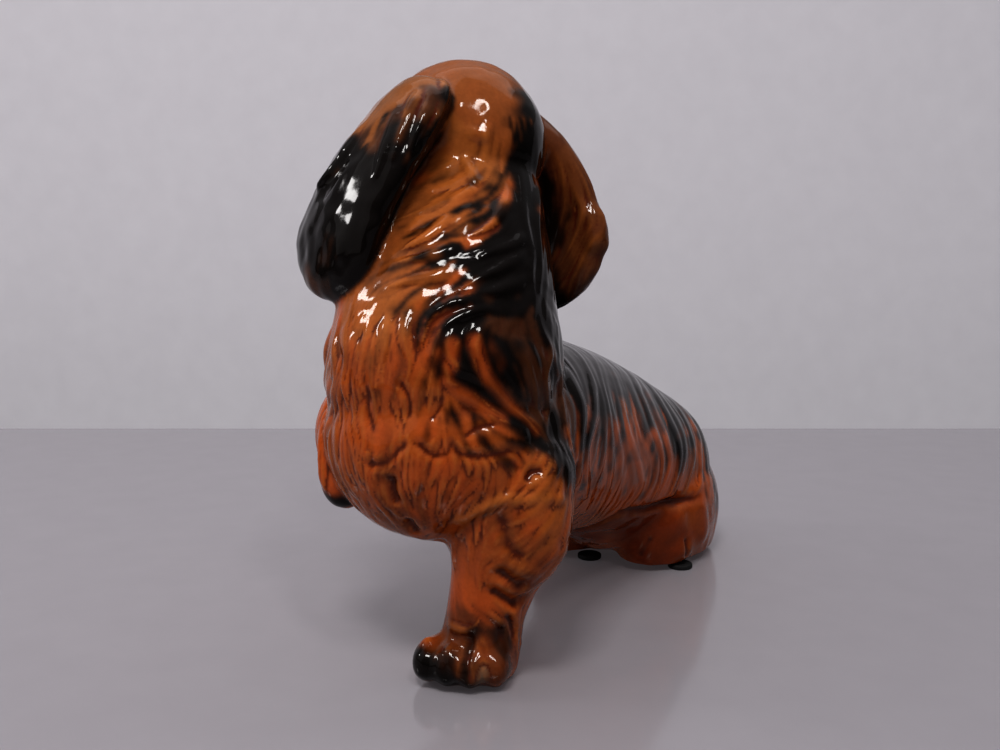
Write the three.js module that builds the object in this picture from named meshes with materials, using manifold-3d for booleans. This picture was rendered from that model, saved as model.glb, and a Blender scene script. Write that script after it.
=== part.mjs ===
// A seated long-haired dachshund figurine in glazed ceramic.
// The dog stands on its left foreleg, holds the right one up, and looks back over its right shoulder.
// Millimetres. +Z is up, the dog's chest faces -Y, and its left side is +X.
import * as THREE from 'three';
import { mergeVertices } from 'three/addons/utils/BufferGeometryUtils.js';
import Module from 'manifold-3d';

const kit = await Module();
kit.setup();

// ---- Driving dimensions -------------------------------------------------

const SEAM = 0.3; // gap left between two castings that are stuck together
const BASE_LIFT = 2.0; // the hind castings stand this far above the table, on the pads
const PAD = { radius: 4.2, height: 2.0, bevel: 0.4 };

const NECK_CUT = { at: [-2, 0, 92], normal: [-0.1, 0.16, 1] }; // where the head casting meets the torso
const SKULL = { at: [-9, 19.5, 139], long: 25, side: 22, tall: 23 };
const FACING = new THREE.Vector3(-0.907, 0.422, 0); // the way the turned head looks

const COAT = { color: 0xa8541e, roughness: 0.12, metalness: 0 };
const DARK_COAT = { color: 0x2a1610, roughness: 0.1, metalness: 0 };
const RUBBER = { color: 0x121212, roughness: 0.85, metalness: 0 };

// ---- Solids from three.js geometry --------------------------------------

const ACROSS = new THREE.Vector3(1, 0, 0);

// Merges a geometry's corners and hands its faces to the solid kernel.
function solidOf(geometry) {
  const bare = new THREE.BufferGeometry();
  bare.setAttribute('position', geometry.getAttribute('position'));
  bare.setIndex(geometry.index);
  const joined = mergeVertices(bare, 1e-4);
  const position = joined.getAttribute('position');
  const index = joined.index;
  const faces = [];
  for (let i = 0; i < index.count; i += 3) {
    const [a, b, c] = [index.getX(i), index.getX(i + 1), index.getX(i + 2)];
    if (a !== b && b !== c && c !== a) faces.push(a, b, c);
  }
  return new kit.Manifold(new kit.Mesh({
    numProp: 3,
    vertProperties: new Float32Array(position.array),
    triVerts: new Uint32Array(faces),
  }));
}

// Turns a solid back into a three.js geometry.
function geometryOf(solid) {
  const { vertProperties, triVerts } = solid.getMesh();
  const geometry = new THREE.BufferGeometry();
  geometry.setAttribute('position', new THREE.Float32BufferAttribute(vertProperties, 3));
  geometry.setIndex(new THREE.Uint32BufferAttribute(triVerts, 1));
  geometry.computeVertexNormals();
  return geometry;
}

// A rounded limb: a sphere stretched along a smooth path.
// Each station has a centre and its half sizes: to the side, above, and below.
// caps are the shares of the path taken up by the two rounded ends.
function limb(stations, options = {}) {
  const { caps = [0.15, 0.15], around = 28, along = 18, side = ACROSS, grow = 0 } = options;
  const path = new THREE.CatmullRomCurve3(stations.map((s) => new THREE.Vector3(...s.at)));
  const sizes = new THREE.CatmullRomCurve3(stations.map((s) => new THREE.Vector3(...s.size)));
  const ball = new THREE.SphereGeometry(1, around, along);
  const position = ball.getAttribute('position');
  const point = new THREE.Vector3();
  for (let i = 0; i < position.count; i++) {
    point.fromBufferAttribute(position, i);
    const ring = 1 - Math.acos(THREE.MathUtils.clamp(point.y, -1, 1)) / Math.PI;
    const t = THREE.MathUtils.clamp(ring - Math.sin(2 * Math.PI * ring) / (2 * Math.PI) * 0.62, 0, 1);
    const turn = Math.atan2(point.z, point.x);
    const pole = Math.hypot(point.x, point.z) < 1e-6;
    const swell = pole ? 0 : capShape(t, caps);
    const tangent = path.getTangent(t);
    const across = side.clone().addScaledVector(tangent, -side.dot(tangent)).normalize();
    const above = new THREE.Vector3().crossVectors(across, tangent);
    const size = sizes.getPoint(t);
    const rise = Math.sin(turn) > 0 ? size.y : size.z;
    point.copy(path.getPoint(t));
    point.addScaledVector(tangent, grow * (2 * t - 1));
    point.addScaledVector(across, Math.cos(turn) * (size.x + grow) * swell);
    point.addScaledVector(above, Math.sin(turn) * (rise + grow) * swell);
    position.setXYZ(i, point.x, point.y, point.z);
  }
  return solidOf(ball);
}

// The share of full size at t along a limb whose ends are rounded.
function capShape(t, [first, last]) {
  const d = Math.min(t / first, (1 - t) / last, 1);
  return Math.sqrt(1 - (1 - d) ** 2);
}

// An egg shape with its own half sizes, turned about the vertical, then tipped.
function egg(at, half, { turn = 0, tip = 0, around = 20, along = 12 } = {}) {
  const ball = new THREE.SphereGeometry(1, around, along);
  ball.scale(...half);
  ball.rotateX(tip);
  ball.rotateZ(turn);
  ball.translate(...at);
  return solidOf(ball);
}

// A large block whose top or bottom face lies on a plane, used to cut castings flat.
function halfSpace(at, normal, reach = 500) {
  const block = new THREE.BoxGeometry(reach, reach, reach);
  block.translate(0, 0, reach / 2);
  const turn = new THREE.Quaternion().setFromUnitVectors(
    new THREE.Vector3(0, 0, 1),
    new THREE.Vector3(...normal).normalize(),
  );
  block.applyQuaternion(turn);
  block.translate(...at);
  return solidOf(block);
}

// Everything above a height, which leaves a flat sole when castings are cut with it.
function aboveTable(height) {
  return halfSpace([0, 60, height], [0, 0, 1]);
}

function union(...solids) {
  return kit.Manifold.union(solids);
}

// ---- Castings -----------------------------------------------------------

// Chest, belly and rump.
function trunk(grow = 0) {
  return limb([
    { at: [0, -33, 62], size: [21, 18, 20] },
    { at: [0, -14, 62], size: [29, 24, 25.5] },
    { at: [0, 14, 61], size: [31.5, 26, 28.5] },
    { at: [0, 46, 55], size: [29, 29, 29] },
    { at: [0, 76, 47], size: [28, 29, 30] },
    { at: [0, 104, 37], size: [29, 29, 34] },
    { at: [0, 128, 30], size: [29, 27, 30] },
    { at: [0, 148, 24], size: [25, 21, 24] },
  ], { caps: [0.12, 0.16], around: 36, along: 24, grow });
}

// The neck rises from between the shoulders and leans back into the skull.
function neck(grow = 0) {
  return limb([
    { at: [-1, -1, 54], size: [28, 28, 32] },
    { at: [-1.5, -2, 78], size: [31, 30, 33] },
    { at: [-3, 3, 98], size: [28.5, 27, 27] },
    { at: [-6, 12, 118], size: [24.5, 22, 20.5] },
    { at: [-9, 19, 138], size: [19, 16, 16] },
  ], { caps: [0.2, 0.12], around: 32, along: 16, grow });
}

function skull(grow = 0) {
  const { at, long, side, tall } = SKULL;
  const turn = Math.atan2(FACING.y, FACING.x);
  return egg(at, [long + grow, side + grow, tall + grow], { turn, around: 32, along: 20 });
}

// Forehead, cheeks and muzzle, running out along the way the head faces.
function face(grow = 0) {
  const ahead = (distance, height) => [
    SKULL.at[0] + FACING.x * distance,
    SKULL.at[1] + FACING.y * distance,
    height,
  ];
  const side = new THREE.Vector3(FACING.y, -FACING.x, 0);
  return limb([
    { at: ahead(6, 135), size: [19, 15, 17] },
    { at: ahead(22, 133), size: [16, 13, 14] },
    { at: ahead(35, 131.5), size: [11.5, 9.5, 11] },
    { at: ahead(47, 131.5), size: [9.6, 7.8, 9] },
    { at: ahead(58, 132), size: [8, 6.8, 7.2] },
  ], { caps: [0.2, 0.12], around: 22, along: 16, side, grow });
}

// The leather of the nose, at the tip of the muzzle.
function nose() {
  const turn = Math.atan2(FACING.y, FACING.x);
  const at = [SKULL.at[0] + FACING.x * 58, SKULL.at[1] + FACING.y * 58, 134.5];
  return egg(at, [4.2, 4.8, 3.6], { turn, around: 14, along: 10 });
}

function headShape(grow = 0) {
  return union(neck(grow), skull(grow), face(grow));
}

function torsoShape(grow = 0) {
  return union(trunk(grow), neck(grow));
}

function makeTorso() {
  const below = halfSpace(NECK_CUT.at, NECK_CUT.normal.map((n) => -n));
  return torsoShape().intersect(below).intersect(aboveTable(BASE_LIFT));
}

function makeHead() {
  const lifted = NECK_CUT.at.map((c, i) => c + SEAM * NECK_CUT.normal[i]);
  return union(headShape(), nose()).intersect(halfSpace(lifted, NECK_CUT.normal));
}

// An ear is a thick flap that hangs from its root beside the crown.
function earFlap(stations, grow = 0) {
  return limb(stations, { caps: [0.1, 0.16], around: 22, along: 18, side: FACING, grow });
}

function makeLeftEar() {
  const flap = earFlap([
    { at: [-9, 5, 153], size: [9, 6, 6] },
    { at: [-12, -2, 144], size: [16, 8, 7.5] },
    { at: [-20, -11, 128], size: [20, 7.5, 7] },
    { at: [-26, -15.5, 112], size: [20.5, 6.5, 6.5] },
    { at: [-30, -16, 97], size: [13, 5.5, 5.5] },
  ]);
  return flap.subtract(headShape(SEAM)).subtract(torsoShape(SEAM));
}

function makeRightEar() {
  const flap = earFlap([
    { at: [-4, 34, 149], size: [8, 6, 6] },
    { at: [0, 41, 140], size: [15, 7, 7] },
    { at: [4, 46, 126], size: [19, 6.5, 7] },
    { at: [7, 46, 109], size: [20, 6, 6.5] },
    { at: [5, 39, 92], size: [11, 5, 5.5] },
  ]);
  return flap.subtract(headShape(SEAM)).subtract(torsoShape(SEAM));
}

// Four toes in an arc across the front of a paw.
function toes(at, spread, half, turn) {
  const list = [];
  for (let i = 0; i < 4; i++) {
    const s = (i - 1.5) / 1.5;
    const x = s * spread;
    const y = -(1 - s * s) * spread * 0.32;
    const place = new THREE.Vector3(x, y, 0).applyAxisAngle(new THREE.Vector3(0, 0, 1), turn);
    const centre = [at[0] + place.x, at[1] + place.y, at[2]];
    list.push(egg(centre, half, { turn: turn + s * 0.3, around: 14, along: 10 }));
  }
  return list;
}

// The standing foreleg carries the weight of the chest and slants in under it.
function makeLeftForeleg() {
  const leg = limb([
    { at: [21, 0, 66], size: [12, 14, 13] },
    { at: [21.5, -4, 52], size: [14.5, 15, 15] },
    { at: [19.5, -6, 39], size: [16.5, 14, 14] },
    { at: [16.8, -7, 28], size: [11.5, 12, 11] },
    { at: [14.2, -8, 17], size: [9.8, 11, 9.5] },
    { at: [12.2, -7.5, 6], size: [10.8, 11.5, 9.5] },
    { at: [12, -8, -6], size: [9, 9.5, 8] },
  ], { caps: [0.12, 0.12], around: 26, along: 20 });
  const paw = union(leg, ...toes([11.6, -14, 6], 8.2, [4.3, 7, 6.2], 0.32));
  return paw.subtract(torsoShape(SEAM)).intersect(aboveTable(0));
}

// The raised foreleg comes forward from the shoulder and lets the paw hang.
function makeRightForeleg() {
  const leg = limb([
    { at: [-19, 8, 62], size: [10, 12, 12] },
    { at: [-26, -1, 66], size: [9.5, 11, 11] },
    { at: [-27.5, -8, 64], size: [8, 9.5, 9.5] },
    { at: [-26.5, -12.5, 55], size: [7, 8, 7.5] },
    { at: [-24, -15, 41], size: [6.6, 7, 6.5] },
  ], { caps: [0.15, 0.14], around: 22, along: 18 });
  return leg.subtract(torsoShape(SEAM));
}

// A thigh spreads out to the table beside the rump.
function thigh(hand, grow = 0) {
  return egg([hand * 16, 119, 15], [17 + grow, 31 + grow, 27 + grow], { around: 26, along: 16 });
}

// A thigh with the hind foot pointing forward from under it.
function makeHindleg(hand) {
  const foot = limb([
    { at: [hand * 20, 120, 9], size: [10, 9, 9] },
    { at: [hand * 21.5, 108, 8.5], size: [10, 8.5, 9] },
    { at: [hand * 22, 95, 8], size: [8.5, 7, 9] },
  ], { caps: [0.25, 0.3], around: 20, along: 12 });
  return union(thigh(hand), foot).subtract(torsoShape(SEAM)).intersect(aboveTable(BASE_LIFT));
}

// The tail lies on the table and curls round the dog's right side.
function makeTail() {
  const tail = limb([
    { at: [8, 142, 18], size: [9, 8, 8] },
    { at: [-2, 151, 12], size: [9, 8.5, 8.5] },
    { at: [-19, 152, 9], size: [8.5, 7.5, 8] },
    { at: [-34, 141, 8], size: [7.5, 6.5, 7] },
    { at: [-41, 122, 7], size: [4.5, 4, 4] },
  ], { caps: [0.12, 0.16], around: 20, along: 16, side: new THREE.Vector3(0, 1, 0) });
  const rump = union(torsoShape(SEAM), thigh(-1, SEAM), thigh(1, SEAM));
  return tail.subtract(rump).intersect(aboveTable(BASE_LIFT));
}

// A round stick-on pad with softened edges.
function makePad([x, y]) {
  const { radius, height, bevel } = PAD;
  const profile = new THREE.Shape();
  profile.moveTo(0, 0);
  profile.lineTo(radius - bevel, 0);
  profile.quadraticCurveTo(radius, 0, radius, bevel);
  profile.lineTo(radius, height - SEAM - bevel);
  profile.quadraticCurveTo(radius, height - SEAM, radius - bevel, height - SEAM);
  profile.lineTo(0, height - SEAM);
  const pad = new THREE.LatheGeometry(profile.getPoints(2), 24);
  pad.rotateX(Math.PI / 2);
  pad.translate(x, y, 0);
  return solidOf(pad);
}

// ---- Assembly -----------------------------------------------------------

const PARTS = [
  ['torso', makeTorso, COAT],
  ['head', makeHead, COAT],
  ['left_ear', makeLeftEar, DARK_COAT],
  ['right_ear', makeRightEar, DARK_COAT],
  ['left_foreleg', makeLeftForeleg, COAT],
  ['right_foreleg', makeRightForeleg, COAT],
  ['left_hindleg', () => makeHindleg(1), COAT],
  ['right_hindleg', () => makeHindleg(-1), COAT],
  ['tail', makeTail, COAT],
  ['pad_left', () => makePad([27, 104]), RUBBER],
  ['pad_middle', () => makePad([-5, 98]), RUBBER],
  ['pad_right', () => makePad([-27, 104]), RUBBER],
];

const figurine = new THREE.Group();
figurine.name = 'dog_figurine';
for (const [name, make, finish] of PARTS) {
  const mesh = new THREE.Mesh(geometryOf(make()), new THREE.MeshStandardMaterial(finish));
  mesh.name = name;
  figurine.add(mesh);
}

// The origin goes to the middle of the footprint, on the table.
const box = new THREE.Box3().setFromObject(figurine);
const middle = box.getCenter(new THREE.Vector3());
figurine.position.set(-middle.x, -middle.y, -box.min.z);

export default figurine;
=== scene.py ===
"""Looks for the glazed ceramic dachshund: sculpted coat, airbrushed glaze with a few strokes of painted
shade, pads, camera and studio.
"""
import math

import bmesh
import bpy
import numpy as np
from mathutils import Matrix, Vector, kdtree
from mathutils.bvhtree import BVHTree


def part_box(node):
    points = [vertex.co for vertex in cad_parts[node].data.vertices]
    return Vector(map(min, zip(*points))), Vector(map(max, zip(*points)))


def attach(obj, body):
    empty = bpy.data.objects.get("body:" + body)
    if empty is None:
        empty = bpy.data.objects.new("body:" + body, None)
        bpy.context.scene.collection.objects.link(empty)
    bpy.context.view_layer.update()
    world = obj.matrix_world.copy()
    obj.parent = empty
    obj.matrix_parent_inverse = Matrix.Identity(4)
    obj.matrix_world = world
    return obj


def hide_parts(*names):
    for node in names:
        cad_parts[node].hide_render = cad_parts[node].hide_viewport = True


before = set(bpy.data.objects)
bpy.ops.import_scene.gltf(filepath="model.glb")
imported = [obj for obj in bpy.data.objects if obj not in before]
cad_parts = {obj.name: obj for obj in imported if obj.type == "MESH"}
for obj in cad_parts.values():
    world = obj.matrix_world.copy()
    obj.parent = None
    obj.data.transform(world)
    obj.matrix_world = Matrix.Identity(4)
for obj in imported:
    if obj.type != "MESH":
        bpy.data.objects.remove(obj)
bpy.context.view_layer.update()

MM = 0.001
rng = np.random.default_rng(482)

# ---- Places ----
# Shapes are placed in the dog's own millimetres: x to its left, y to its rump, z up, with the
# middle of the chest at x = y = 0. The left pad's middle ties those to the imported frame.
PAD_LEFT_AT = np.array([27.0, 104.0, 0.0])
pad_low, pad_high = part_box("pad_left")
SHIFT = np.array([(pad_low.x + pad_high.x) / 2, (pad_low.y + pad_high.y) / 2, 0.0]) / MM - PAD_LEFT_AT

CERAMIC = ["torso", "head", "left_ear", "right_ear", "left_foreleg", "right_foreleg",
           "left_hindleg", "right_hindleg", "tail"]
PADS = ["pad_left", "pad_middle", "pad_right"]
# The way the turned head faces, the way to its left, and the middle of the skull.
FACING = np.array([-0.907, 0.422, 0.0])
FACE_SIDE = np.array([-0.422, -0.907, 0.0])
SKULL_AT = np.array([-9.0, 19.5, 139.0])

# Millimetres: the skin's grain, how far the castings grow to meet over their joints, how far the
# finished skin is set back, so that hair rises about the CAD surface, and a joint's closing cap.
VOXEL = 0.6
GROWTH = 0.4
SET_BACK = 0.5
CAP_DEPTH = 2.0
# Rounds of smoothing.
FORM_ROUNDS = 24
NORMAL_ROUNDS = 3


# ---- Small mathematics ----

def unit(v):
    """Vectors made one unit long."""
    return v / np.maximum(np.linalg.norm(v, axis=-1, keepdims=True), 1e-9)


def smooth(x, low, high):
    """0 below low, 1 above high, and an eased step between."""
    t = np.clip((x - low) / (high - low), 0, 1)
    return t * t * (3 - 2 * t)


LATTICE_SIDE = 32
LATTICES = [np.random.default_rng(seed).random((LATTICE_SIDE,) * 3).astype(np.float32) for seed in range(3)]


def value_noise(p, seed):
    """Smooth noise from 0 to 1 at points p, with features one unit across."""
    grid = LATTICES[seed]
    cell = np.floor(p).astype(int)
    f = p - cell
    f = f * f * (3 - 2 * f)
    total = np.zeros(len(p))
    for corner in np.ndindex(2, 2, 2):
        i, j, k = ((cell + corner) % LATTICE_SIDE).T
        total += np.abs(1 - np.array(corner) - f).prod(1) * grid[i, j, k]
    return total


def segment_distance(p, a, b):
    """Distance from points p to the segment a-b, and how far along it (0 to 1) the nearest point is."""
    ab = b - a
    t = np.clip(((p - a) @ ab) / max(ab @ ab, 1e-9), 0, 1)
    return np.linalg.norm(p - (a + t[:, None] * ab), axis=1), t


def path_distance(p, points):
    """Distance from points p to a path of straight spans."""
    points = np.asarray(points, float)
    best = np.full(len(p), 1e9)
    for a, b in zip(points[:-1], points[1:]):
        best = np.minimum(best, segment_distance(p, a, b)[0])
    return best


def add_object(name, data):
    """A new object in the scene."""
    made = bpy.data.objects.new(name, data)
    bpy.context.scene.collection.objects.link(made)
    return made


# ---- The base form: all castings luted into one skin ----

def merged_castings():
    """The ceramic castings, grown to close their seams and remeshed as one skin of even quads."""
    joined = bmesh.new()
    for name in CERAMIC:
        joined.from_mesh(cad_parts[name].data)
    bmesh.ops.remove_doubles(joined, verts=joined.verts, dist=1e-6)
    joined.normal_update()
    for v in joined.verts:
        v.co += v.normal * GROWTH * MM
    mesh = bpy.data.meshes.new("merged")
    joined.to_mesh(mesh)
    joined.free()
    obj = add_object("merged", mesh)
    remesh = obj.modifiers.new("remesh", "REMESH")
    remesh.mode = "VOXEL"
    remesh.voxel_size = VOXEL * MM
    graph = bpy.context.evaluated_depsgraph_get()
    result = bpy.data.meshes.new_from_object(obj.evaluated_get(graph))
    bpy.data.objects.remove(obj)
    return result


def numbers(parts, attribute, columns, kind):
    """One attribute of all of a mesh's vertices, edges or loops, a row for each."""
    values = np.zeros(len(parts) * columns, kind)
    parts.foreach_get(attribute, values)
    return values.reshape(-1, columns)


class Skin:
    """Points (mm, in the dog's own frame), faces and neighbours of the ceramic's surface."""

    def __init__(self, mesh):
        self.p = numbers(mesh.vertices, "co", 3, float) / MM - SHIFT
        self.edges = numbers(mesh.edges, "vertices", 2, int)
        self.quads = numbers(mesh.loops, "vertex_index", 1, int).reshape(-1, 4)
        self.degree = np.bincount(self.edges.ravel(), minlength=len(self.p)).astype(float)

    def average(self, values):
        """Each point's value becomes the mean of its neighbours'."""
        a, b = self.edges.T
        flat = values.reshape(len(values), -1)
        out = np.empty_like(flat)
        for c in range(flat.shape[1]):
            out[:, c] = np.bincount(a, flat[b, c], len(flat)) + np.bincount(b, flat[a, c], len(flat))
        out /= self.degree[:, None]
        return out.reshape(values.shape)

    def relax(self, values, times, share=0.5):
        """Values smoothed over the skin, by moving each part of the way to its neighbours' mean."""
        for _ in range(times):
            values = values * (1 - share) + self.average(values) * share
        return values

    def normals(self):
        """The outward direction at each point, from the faces around it."""
        q = self.p[self.quads]
        face = np.cross(q[:, 2] - q[:, 0], q[:, 3] - q[:, 1])
        out = np.zeros_like(self.p)
        for k in range(4):
            for c in range(3):
                out[:, c] += np.bincount(self.quads[:, k], face[:, c], len(self.p))
        return unit(out)


def castings_tree():
    """A search tree over the CAD castings, and which casting each of its faces belongs to."""
    points, faces, owner = [], [], []
    for i, name in enumerate(CERAMIC):
        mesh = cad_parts[name].data
        start = len(points)
        points += [Vector(np.array(v.co) / MM - SHIFT) for v in mesh.vertices]
        faces += [[start + k for k in poly.vertices] for poly in mesh.polygons]
        owner += [i] * len(mesh.polygons)
    return BVHTree.FromPolygons(points, faces), np.array(owner)


def label_points(skin):
    """Which casting each point of the skin is nearest to."""
    tree, owner = castings_tree()
    found = [tree.find_nearest(p)[2] for p in skin.p]
    return owner[np.array(found)]


# ---- The coat's flow ----
# Each entry: where (mm), and the way the hair lies there. The trunk's are mirrored to the right.
TRUNK_FLOW = [
    ((0, 40, 86), (0.2, 0.95, -0.1)), ((0, 80, 77), (0.3, 0.9, -0.2)), ((0, 120, 62), (0.2, 0.9, -0.4)),
    ((0, 148, 35), (0.1, 0.5, -0.9)), ((10, 70, 18), (-0.6, -0.6, -0.3)), ((12, -30, 50), (-0.25, 0.3, -0.9)),
    ((22, -22, 56), (-0.4, 0, -0.9)), ((0, -33, 66), (0.05, 0, -1)), ((6, -28, 45), (-0.1, 0.5, -0.8)),
    ((14, 5, 34), (-0.3, 0.8, -0.3)), ((25, 130, 40), (0.2, 0.1, -1)), ((12, 148, 30), (0.3, 0.2, -1)),
]
FAR_NECK_FLOW = [
    ((12, 28, 120), (0.1, 0.2, -1)), ((15, 24, 100), (0.3, 0.5, -0.9)), ((2, 34, 100), (0, 0.5, -0.9)),
    ((-28, -10, 84), (-0.2, 0.1, -1)), ((-30, 5, 76), (-0.2, 0.4, -0.9)), ((-24, 20, 96), (-0.3, 0.3, -0.9)),
    ((-24, 10, 116), (-0.2, 0, -1)), ((-10, 34, 112), (-0.1, 0.3, -1)), ((-20, -12, 112), (-0.4, -0.3, -0.9)),
]
CROWN_FLOW = [
    ((-4, 10, 160), (0.7, -0.4, -0.3)), ((7, 3, 148), (0.5, -0.4, -0.8)), ((10, 18, 150), (0.6, -0.3, -0.8)),
    ((-9, 19, 162), (0.8, -0.4, 0)), ((-28, 28, 156), (0.8, -0.4, 0.3)), ((-40, 34, 142), (0.8, -0.35, 0.4)),
    ((-45, 27, 134), (0.8, -0.3, -0.3)), ((-45, 46, 134), (0.8, 0.2, -0.3)),
]
HIND_FLOW = [
    ((30, 118, 30), (0.2, -0.2, -1)), ((32, 100, 14), (0, -0.7, -0.6)), ((22, 92, 8), (0, -0.9, -0.3)),
    ((30, 138, 14), (0, -0.3, -0.9)), ((20, 92, 22), (0.1, -0.6, -0.8)),
]
TAIL_FLOW = [
    ((8, 150, 18), (-0.8, 0.4, -0.3)), ((-10, 158, 10), (-1, 0.05, -0.1)), ((-28, 152, 9), (-0.7, -0.6, 0)),
    ((-40, 132, 8), (-0.3, -0.95, 0)),
]

# ---- Tresses modelled one by one ----
# Each: guide points on the skin from root to tip (mm), half width, height.
NECK_TRESSES = [
    ([(15, 6, 129), (16, -1, 121), (16, -7, 116), (13, -12, 113)], 1.6, 1.6),
    ([(20, 6, 117), (21, -2, 112), (19, -8, 110), (16, -13, 108)], 1.8, 1.1),
    ([(22, 3, 111), (22, -4, 108), (20, -11, 105), (17, -16, 103)], 1.9, 1.1),
    ([(24, 0, 106), (23, -7, 102), (21, -14, 100), (16, -20, 99)], 1.8, 1.1),
    ([(8, -10, 120), (6, -16, 115), (3, -19, 112), (-1, -20, 110)], 1.7, 1.3),
    ([(6, -7, 124), (4, -11, 121), (0, -14, 119), (-6, -16, 117)], 1.5, 0.8),
    ([(8, -1, 130), (5, -6, 127), (0, -9, 125), (-7, -10, 124)], 1.5, 0.6),
    ([(5, 0, 135), (1, -3, 132), (-4, -6, 129)], 1.4, 0.5),
    ([(14, -13, 112), (10, -17, 110), (5, -20, 108), (-1, -22, 107)], 1.8, 1.0),
    ([(14, -17, 106), (10, -21, 104), (4, -24, 103), (-2, -26, 101)], 1.8, 1.0),
]
NAPE_TRESSES = [
    ([(13, 12, 146), (15, 12, 138), (15, 10, 129), (19, 4, 119), (23, 1, 109), (25, -3, 100)], 1.9, 0.8),
    ([(14, 20, 146), (16, 18, 137), (14, 20, 128), (19, 10, 118), (23, 5, 109), (25, 0, 99)], 1.8, 1.0),
    ([(12, 8, 143), (12, 7, 135), (12, 4, 129)], 1.6, 0.7),
]
CHEST_TRESSES = [
    ([(23, -12, 98), (18, -18, 98), (13, -23, 97), (10, -26, 94), (10, -28, 89)], 1.5, 1.4),
    ([(24, -12, 95), (20, -18, 96), (16, -22, 94), (13, -26, 91), (14, -27, 87)], 1.5, 1.4),
    ([(19, -20, 93), (16, -23, 92), (15, -26, 89), (16, -26, 85), (19, -24, 81)], 1.7, 1.5),
    ([(8, -25, 98), (5, -28, 94), (6, -30, 88), (8, -30, 84), (7, -30, 79)], 1.8, 1.7),
    ([(3, -26, 99), (0, -28, 95), (1, -30, 89), (0, -31, 83), (-1, -32, 78)], 1.5, 1.2),
    ([(-2, -27, 98), (-5, -29, 93), (-5, -31, 87), (-6, -31, 80), (-4, -32, 76)], 1.5, 1.3),
    ([(-13, -26, 96), (-14, -27, 91), (-11, -30, 85), (-12, -30, 77), (-11, -30, 72)], 1.6, 1.4),
    ([(-19, -23, 93), (-18, -26, 86), (-16, -28, 81), (-17, -28, 74)], 1.5, 1.2),
    ([(-2, -32, 77), (-6, -31, 71), (-4, -32, 65), (-6, -32, 59)], 1.6, 1.3),
    ([(-10, -30, 74), (-10, -30, 68), (-8, -31, 62), (-7, -31, 57)], 1.5, 1.2),
]
CHEST_LOBES = [
    ([(18, -27, 77), (20, -25, 72), (21, -25, 68), (22, -24, 65)], 4.6, 0.9),
    ([(2, -32, 78), (0, -32, 72), (-1, -32, 67), (0, -33, 62)], 5.0, 0.8),
    ([(10, -30, 78), (10, -30, 74), (11, -30, 70), (10, -31, 65)], 4.4, 1.0),
    ([(18, -26, 73), (22, -23, 70), (25, -20, 67), (29, -14, 64)], 3.0, 1.1),
]
SHOULDER_TRESSES = [
    ([(16, -26, 81), (20, -23, 79), (24, -19, 74), (28, -14, 68)], 1.4, 0.8),
    ([(20, -22, 88), (22, -20, 80), (25, -15, 73), (29, -8, 65)], 1.6, 1.2),
    ([(15, -27, 79), (19, -24, 76), (22, -21, 73), (25, -18, 70)], 1.5, 1.0),
    ([(21, -18, 92), (24, -18, 87), (26, -16, 81), (27, -12, 74)], 2.2, 1.3),
    ([(24, -15, 92), (27, -12, 86), (28, -10, 80), (29, -7, 72)], 2.2, 1.5),
    ([(26, -2, 98), (28, -3, 90), (29, -1, 85), (29, -5, 78), (29, -2, 72), (30, -5, 66)], 1.5, 1.6),
    ([(27, 3, 92), (29, 3, 83), (29, 7, 75), (30, 4, 66), (32, 8, 57)], 1.6, 1.4),
]
BREAST_TRESSES = [
    ([(6, -32, 61), (4, -32, 56), (5, -30, 51), (5, -25, 43)], 1.2, 0.9),
    ([(0, -32, 58), (0, -31, 53), (1, -28, 47)], 1.3, 0.9),
    ([(11, -30, 57), (9, -28, 50), (8, -25, 44)], 1.1, 0.9),
    ([(15, -29, 59), (12, -28, 51), (9, -23, 42)], 1.1, 0.9),
    ([(19, -27, 59), (16, -27, 54), (12, -25, 47)], 1.1, 0.9),
    ([(23, -23, 58), (19, -25, 53), (14, -25, 48)], 1.1, 0.9),
]
FLANK_TRESSES = [
    ([(20, 10, 90), (28, 8, 82), (30, 9, 72), (31, 8, 63), (30, 6, 55)], 2.8, 0.9),
    ([(13, 42, 84), (23, 36, 75), (29, 28, 68), (31, 20, 61), (30, 20, 53), (23, 34, 38)], 2.7, 0.75),
    ([(15, 52, 80), (28, 34, 68), (30, 33, 57), (28, 42, 47), (22, 46, 36), (12, 56, 24)], 2.8, 0.75),
    ([(15, 64, 78), (28, 49, 63), (29, 54, 52), (27, 70, 39), (23, 71, 31), (15, 66, 24)], 2.9, 0.75),
    ([(16, 80, 72), (26, 70, 61), (28, 76, 52), (28, 84, 39), (24, 81, 29)], 2.9, 0.75),
    ([(16, 92, 67), (24, 91, 58), (28, 94, 47), (28, 94, 37), (27, 90, 28)], 2.8, 0.7),
    ([(16, 110, 59), (25, 112, 50), (29, 109, 41), (30, 107, 32), (28, 100, 26)], 2.7, 0.7),
    ([(16, 122, 52), (25, 122, 46), (28, 116, 38), (30, 117, 31), (31, 108, 25)], 2.6, 0.65),
    ([(17, 132, 44), (26, 132, 36), (29, 130, 27), (30, 124, 20)], 2.5, 0.65),
]
NEAR_EAR_FOLDS = [
    ([(-7, 5, 157), (1, -4, 150), (2, -9, 143), (1, -12, 137)], 1.7, 1.4),
    ([(-4, -3, 154), (0, -9, 147), (0, -14, 140), (-1, -17, 134)], 1.8, 1.3),
    ([(-5, -6, 152), (-4, -12, 146), (-4, -16, 139), (-4, -20, 132)], 1.9, 1.2),
    ([(-8, -10, 149), (-7, -15, 142), (-7, -19, 135), (-8, -22, 127)], 2.2, 0.9),
    ([(-18, -9, 146), (-20, -12, 140), (-22, -15, 135), (-27, -16, 130), (-33, -14, 126)], 2.4, 1.4),
    ([(-7, -23, 127), (-7, -25, 118), (-8, -25, 110), (-11, -24, 102)], 3.0, 0.4),
]
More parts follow.
